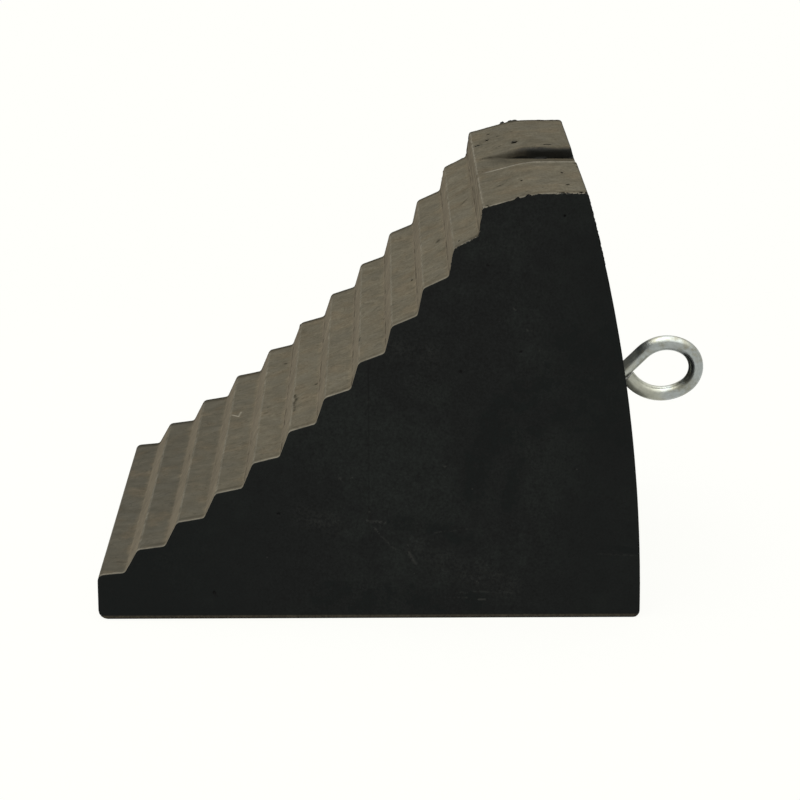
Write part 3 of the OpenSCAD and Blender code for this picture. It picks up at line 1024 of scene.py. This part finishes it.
def zinc_plate(look):
    """Bright zinc plating on drawn wire, with faint lines along it."""
    material = bpy.data.materials.new("zinc_plate")
    nodes = emptied(material)
    place = nodes.result("ShaderNodeTexCoord", output="Object")
    wire = nodes.result("ShaderNodeAttribute", output="Vector", attribute_name="wire_place")
    drawn = nodes.noise(wire, (160, 160, 12), 3.0, 0.6)
    spangle = nodes.noise(place, 1.6, 4.0, 0.65)
    dull = nodes.noise(place, 6, 3.0, 0.6)

    # Painted reflection: a pale colour on the cut end and the neck, close to the rubber, for the white
    # surroundings that the plating would mirror there
    axes = nodes.axes(place)
    cut_end = axes["X"].fade_mm(153, 142) * axes["Z"].fade_mm(93, 88)
    neck = axes["X"].fade_mm(136.5, 134.5) * 0.4
    painted_reflection = nodes.largest(cut_end, neck)
    base = nodes.mix(dull.fade(0.42, 0.65), look.zinc, look.dull)
    base = nodes.mix(painted_reflection, base, look.painted_reflection)
    nodes.surface(nodes.result("ShaderNodeBsdfPrincipled", {
        "Base Color": nodes.toned(base, [(spangle, 0.5), (dull, 0.5), (drawn, 0.3)]),
        "Metallic": (1 - dull.fade(0.35, 0.65) * 0.15) * (1 - painted_reflection * 0.7),
        "Roughness": dull * 0.1 + (look.roughness - 0.05),
        "Normal": nodes.bump(drawn * 0.8 + spangle * 0.2, 0.1, 0.1 * MM),
    }))
    return material


# The screw eye

class Wire:
    """A wire drawn ring by ring in the upright plane of the eye, along +X from the tip at first."""

    def __init__(self, radius, start, sides):
        self.bm = bmesh.new()
        self.place = self.bm.verts.layers.float_vector.new("wire_place")
        placed = Matrix.Translation(start) @ Matrix.Rotation(math.radians(90), 4, "Y")
        made = bmesh.ops.create_circle(self.bm, segments=sides, radius=radius, matrix=placed)
        for vert in made["verts"]:
            offset = vert.co - start
            vert[self.place] = (offset.y / radius, offset.z / radius, 0)
        self.ring = list(self.bm.edges)
        self.along = 0
        self.turned = 0

    def ring_verts(self):
        return {vert for edge in self.ring for vert in edge.verts}

    def stepped(self, made, distance):
        """Keeps the newest ring, and writes how far along the wire it is."""
        self.ring = [part for part in made if isinstance(part, bmesh.types.BMEdge)]
        self.along += distance
        for vert in self.ring_verts():
            vert[self.place][2] = self.along

    def run(self, distance, steps):
        """A straight stretch."""
        heading = Vector((math.cos(self.turned), 0, math.sin(self.turned)))
        for _ in range(steps):
            made = bmesh.ops.extrude_edge_only(self.bm, edges=self.ring)["geom"]
            verts = [part for part in made if isinstance(part, bmesh.types.BMVert)]
            bmesh.ops.translate(self.bm, verts=verts, vec=heading * distance / steps)
            self.stepped(made, distance / steps)

    def spin(self, centre, axis, turn, distance, shift=(0, 0, 0)):
        """One more ring, turned about an axis and moved along by a shift."""
        made = bmesh.ops.spin(
            self.bm, geom=self.ring, cent=centre, axis=axis, dvec=shift, angle=turn, steps=1,
            use_duplicate=False,
        )
        self.stepped(made["geom_last"], distance)

    def bend(self, centre, radius, turn, steps):
        """A bend about a centre. A positive turn is upwards."""
        for _ in range(steps):
            self.spin(centre, Y_AXIS, -turn / steps, radius * abs(turn) / steps)
        self.turned += turn


def flat(point):
    """A point of the eye's upright plane, from its two coordinates."""
    return Vector((point[0], 0, point[1]))


def polar(radius, turn):
    return Vector((radius * math.cos(turn), radius * math.sin(turn)))


def thread_wire(wire, eye):
    """The rolled thread and its point: rings with one high flank each, turned as they go along the shank."""
    crest, bottom = eye.thread / 2, eye.thread_root / 2
    steps = 20
    turns = eye.thread_length / eye.thread_pitch
    rings = int(turns * steps)
    advance = eye.thread_length / rings
    start = Vector((-eye.embedded, 0, 0))
    for vert in wire.ring_verts():
        offset = vert.co - start
        phase = abs(math.atan2(offset.z, offset.y)) / math.pi
        reach = bottom + (crest - bottom) * ease(1.9 - 2.6 * phase)
        vert.co = start + offset.normalized() * reach
    for ring in range(rings):
        wire.spin(start + X_AXIS * advance * ring, X_AXIS, math.tau / steps, advance, X_AXIS * advance)
    for vert in wire.bm.verts:
        from_tip = vert.co.x + eye.embedded
        if from_tip < eye.point:
            narrowed = eye.tip / eye.thread + (1 - eye.tip / eye.thread) * from_tip / eye.point
            vert.co.y *= narrowed
            vert.co.z *= narrowed


def make_eye(eye, shape):
    """The whole screw eye as one wire, from its tip round to the cut end, in the part's frame."""
    radius = eye.wire / 2
    wire = Wire(radius, Vector((-eye.embedded, 0, 0)), 40)
    thread_wire(wire, eye)

    # Above the thread the shank is round again
    for vert in wire.ring_verts():
        offset = Vector((0, vert.co.y, vert.co.z))
        vert.co = Vector((vert.co.x, 0, 0)) + offset.normalized() * radius
    wire.run(eye.embedded - eye.thread_length + eye.neck_stand, 4)
    wire.bend(flat((eye.neck_stand, eye.neck)), eye.neck, eye.branch, 10)

    # The closed eye, as arcs that meet along shared tangents
    neck_back = eye.neck * math.tan(eye.branch / 2)
    neck = Vector((eye.neck_stand + neck_back, 0))
    shoulder_centre = polar(eye.crown - eye.shoulder, eye.crown_up)
    shoulder_end = shoulder_centre + polar(eye.shoulder, math.pi / 2 + eye.branch)
    lower_centre = polar(eye.crown - eye.lower, -eye.crown_down)
    branch_length = shoulder_end.y / math.sin(eye.branch)
    crown_centre = neck - (shoulder_end - polar(branch_length, eye.branch))
    wire.run(branch_length - neck_back, 6)
    shoulder_turn = math.pi / 2 + eye.branch - eye.crown_up
    wire.bend(flat(crown_centre + shoulder_centre), eye.shoulder, -shoulder_turn, 24)
    wire.bend(flat(crown_centre), eye.crown, -(eye.crown_up + eye.crown_down), 36)
    to_branch = (crown_centre + lower_centre - neck).dot(polar(1, math.pi / 2 + eye.branch))
    lower_turn = math.pi - eye.branch + math.asin(-to_branch / eye.lower) - eye.crown_down
    wire.bend(flat(crown_centre + lower_centre), eye.lower, -lower_turn, 28)

    # The cut end, which stops short of the upper branch
    bm = wire.bm
    above = flat(polar(1, math.pi / 2 + eye.branch))
    across = above * math.cos(eye.end_slant) + Y_AXIS * math.sin(eye.end_slant)
    cut_place = flat(neck) - across * (radius + eye.end_gap)
    last = [v for v in bm.verts if v[wire.place][2] > wire.along - eye.lower * lower_turn]
    parts = set(last)
    for vert in last:
        parts.update(vert.link_edges)
        parts.update(vert.link_faces)
    bmesh.ops.bisect_plane(
        bm, geom=list(parts), dist=0.01 * MM, plane_co=cut_place, plane_no=across, clear_outer=True,
    )
    rims = [edge for edge in bm.edges if edge.is_boundary]
    made = bmesh.ops.holes_fill(bm, edges=rims, sides=0)["faces"]
    cut_edges = [e for e in bm.edges if any(f in made for f in e.link_faces) and e.verts[0].co.x > 0]
    bevel(bm, cut_edges, 0.15 * MM, 2)
    bmesh.ops.recalc_face_normals(bm, faces=bm.faces)
    tilt = math.asin(eye.height / shape.back_radius)
    back_centre = shape.base_length / 2 - shape.back_radius
    placed = Matrix.Translation((back_centre, 0, 0)) @ Matrix.Rotation(-tilt, 4, "Y")
    bmesh.ops.transform(bm, matrix=placed @ Matrix.Translation((shape.back_radius, 0, 0)), verts=bm.verts)
    return bm


class WHEELSTOP_OT_block(bpy.types.Operator):
    """Moulds the finished rubber block over the CAD block"""

    bl_idname = "wheel_stop.block"
    bl_label = "Moulded block"

    def execute(self, context):
        values = settings()
        shape = values["block"]
        bm = block_from_frame()
        round_sides(bm, shape)
        cut_cells(bm, shape.cell)
        cut_rim_rows(bm, shape)
        press_mould_line(bm, shape)
        found = block_marks(shape)
        refine_edges(bm, shape, 3)
        refine(bm, shape, found)
        round_rims(bm, shape)
        for pit in PITS:
            press_pit(bm, *pit)
        for lump in LUMPS:
            raise_lump(bm, *lump)
        bm.normal_update()
        crumble_edges(bm, shape)
        bm.normal_update()
        waver_faces(bm, shape)
        keep_inside(bm, "rubber_block")
        paint(bm, found)
        groups = {
            "bands": tooth_bands(), "side": side_reach(), "streaks": streaks(),
            "specks": specks(), "grain": rubber_grain(),
        }
        material = moulded_rubber(values["rubber"], shape, groups)
        piece = finish_mesh(bm, "moulded_block", material, math.radians(40))
        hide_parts("rubber_block")
        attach(piece, "root")
        return {"FINISHED"}


class WHEELSTOP_OT_eye(bpy.types.Operator):
    """Bends the plated screw eye from one length of wire"""

    bl_idname = "wheel_stop.eye"
    bl_label = "Screw eye"

    def execute(self, context):
        values = settings()
        bm = make_eye(values["eye"], values["block"])
        keep_inside(bm, "screw_eye")
        piece = finish_mesh(bm, "plated_screw_eye", zinc_plate(values["plate"]), math.radians(35))
        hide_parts("screw_eye")
        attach(piece, "root")
        return {"FINISHED"}


def seen_or_mirrored(nodes):
    """1 for what the camera, a reflection or glass sees, and 0 for light that falls on a surface."""
    path = nodes.results("ShaderNodeLightPath")
    return nodes.largest(path["Is Camera Ray"], path["Is Glossy Ray"], path["Is Transmission Ray"])


def make_floor(setup):
    """A large sheet of pale paper that stays white in the picture and keeps a faint shadow."""
    bm = bmesh.new()
    lowered = Matrix.Translation((0, 0, -setup.floor_drop))
    bmesh.ops.create_circle(bm, cap_ends=True, segments=96, radius=8, matrix=lowered)
    mesh = bpy.data.meshes.new("paper_floor")
    bm.to_mesh(mesh)
    bm.free()
    floor = add_object("paper_floor", mesh)
    material = bpy.data.materials.new("paper")
    mesh.materials.append(material)
    nodes = emptied(material)
    place = nodes.result("ShaderNodeTexCoord", output="Object")
    far = nodes.result("ShaderNodeVectorMath", {0: place}, "Value", operation="LENGTH").fade(0.2, 0.6)
    paper = nodes.result("ShaderNodeBsdfDiffuse", {"Color": [0.86 * part for part in setup.paper]})
    glow = {"Color": setup.paper, "Strength": 1.048 - far * 0.048}
    white = nodes.result("ShaderNodeEmission", glow)
    factor = seen_or_mirrored(nodes) * (far * 0.1 + 0.9)
    nodes.surface(nodes.result("ShaderNodeMixShader", {0: factor, 1: paper, 2: white}))


def make_world(setup):
    """Even light from all round, behind a white backdrop, with a bright canopy that only reflections see."""
    world = bpy.data.worlds.new("studio")
    bpy.context.scene.world = world
    nodes = emptied(world)
    light = nodes.result("ShaderNodeBackground", {"Color": WHITE, "Strength": setup.ambient})
    up = nodes.axes(nodes.result("ShaderNodeTexCoord", output="Generated"))["Z"]
    mirrored = nodes.result("ShaderNodeLightPath", output="Is Glossy Ray")
    glow = {"Color": setup.paper, "Strength": up.fade(0.55, 0.75) * mirrored * (setup.canopy - 1) + 1.0}
    white = nodes.result("ShaderNodeBackground", glow)
    mixed = nodes.result("ShaderNodeMixShader", {0: seen_or_mirrored(nodes), 1: light, 2: white})
    nodes.surface(mixed, "ShaderNodeOutputWorld")


def make_lamp(name, place, target, size, power):
    """A square soft lamp that faces a target."""
    lamp = bpy.data.lights.new(name, "AREA")
    lamp.shape = "SQUARE"
    lamp.size = size
    lamp.energy = power
    holder = add_object(name, lamp)
    holder.location = place
    holder.rotation_euler = (Vector(target) - Vector(place)).to_track_quat("-Z", "Y").to_euler()


def make_camera(setup):
    """The camera, level with its values: tilt below the horizon, pan towards the heel, and roll."""
    data = bpy.data.cameras.new("camera")
    data.sensor_width = 36
    data.lens = setup.lens
    data.clip_end = 50
    camera = add_object("camera", data)
    turn = Matrix.Rotation(-setup.pan, 4, "Z") @ Matrix.Rotation(math.pi / 2 - setup.tilt, 4, "X")
    camera.matrix_world = Matrix.Translation(setup.camera) @ turn @ Matrix.Rotation(-setup.roll, 4, "Z")
    bpy.context.scene.camera = camera


class WHEELSTOP_OT_stage(bpy.types.Operator):
    """Sets up the floor, the lamps and the camera"""

    bl_idname = "wheel_stop.stage"
    bl_label = "Stage"

    def execute(self, context):
        setup = settings()["studio"]
        make_floor(setup)
        make_world(setup)
        make_lamp("overhead", (-0.25, -0.1, 1.9), (0, 0, 0.1), 1.4, setup.key)
        make_camera(setup)
        context.scene.view_settings.view_transform = "Standard"
        return {"FINISHED"}


class VIEW3D_PT_wheel_stop(bpy.types.Panel):
    bl_label = "Wheel Stop"
    bl_space_type = "VIEW_3D"
    bl_region_type = "UI"
    bl_category = "Wheel Stop"

    def draw(self, context):
        for operator in OPERATORS:
            self.layout.operator(operator.bl_idname)
        for name, group in settings().items():
            box = self.layout.box()
            box.label(text=name.capitalize())
            for key in group.__annotations__:
                box.prop(group, key)


GROUPS = {
    "block": BlockShape,
    "eye": EyeShape,
    "rubber": RubberLook,
    "plate": PlateLook,
    "studio": StudioSetup,
}
OPERATORS = [WHEELSTOP_OT_stage, WHEELSTOP_OT_block, WHEELSTOP_OT_eye]
CLASSES = [*GROUPS.values(), *OPERATORS, VIEW3D_PT_wheel_stop]


def register():
    for made in CLASSES:
        bpy.utils.register_class(made)
    for name, group in GROUPS.items():
        setattr(bpy.types.Scene, "wheel_stop_" + name, PointerProperty(type=group))


def unregister():
    for name in GROUPS:
        delattr(bpy.types.Scene, "wheel_stop_" + name)
    for made in reversed(CLASSES):
        bpy.utils.unregister_class(made)


def main():
    register()
    for operator in OPERATORS:
        folder, name = operator.bl_idname.split(".")
        getattr(getattr(bpy.ops, folder), name)()


if __name__ == "__main__":
    main()
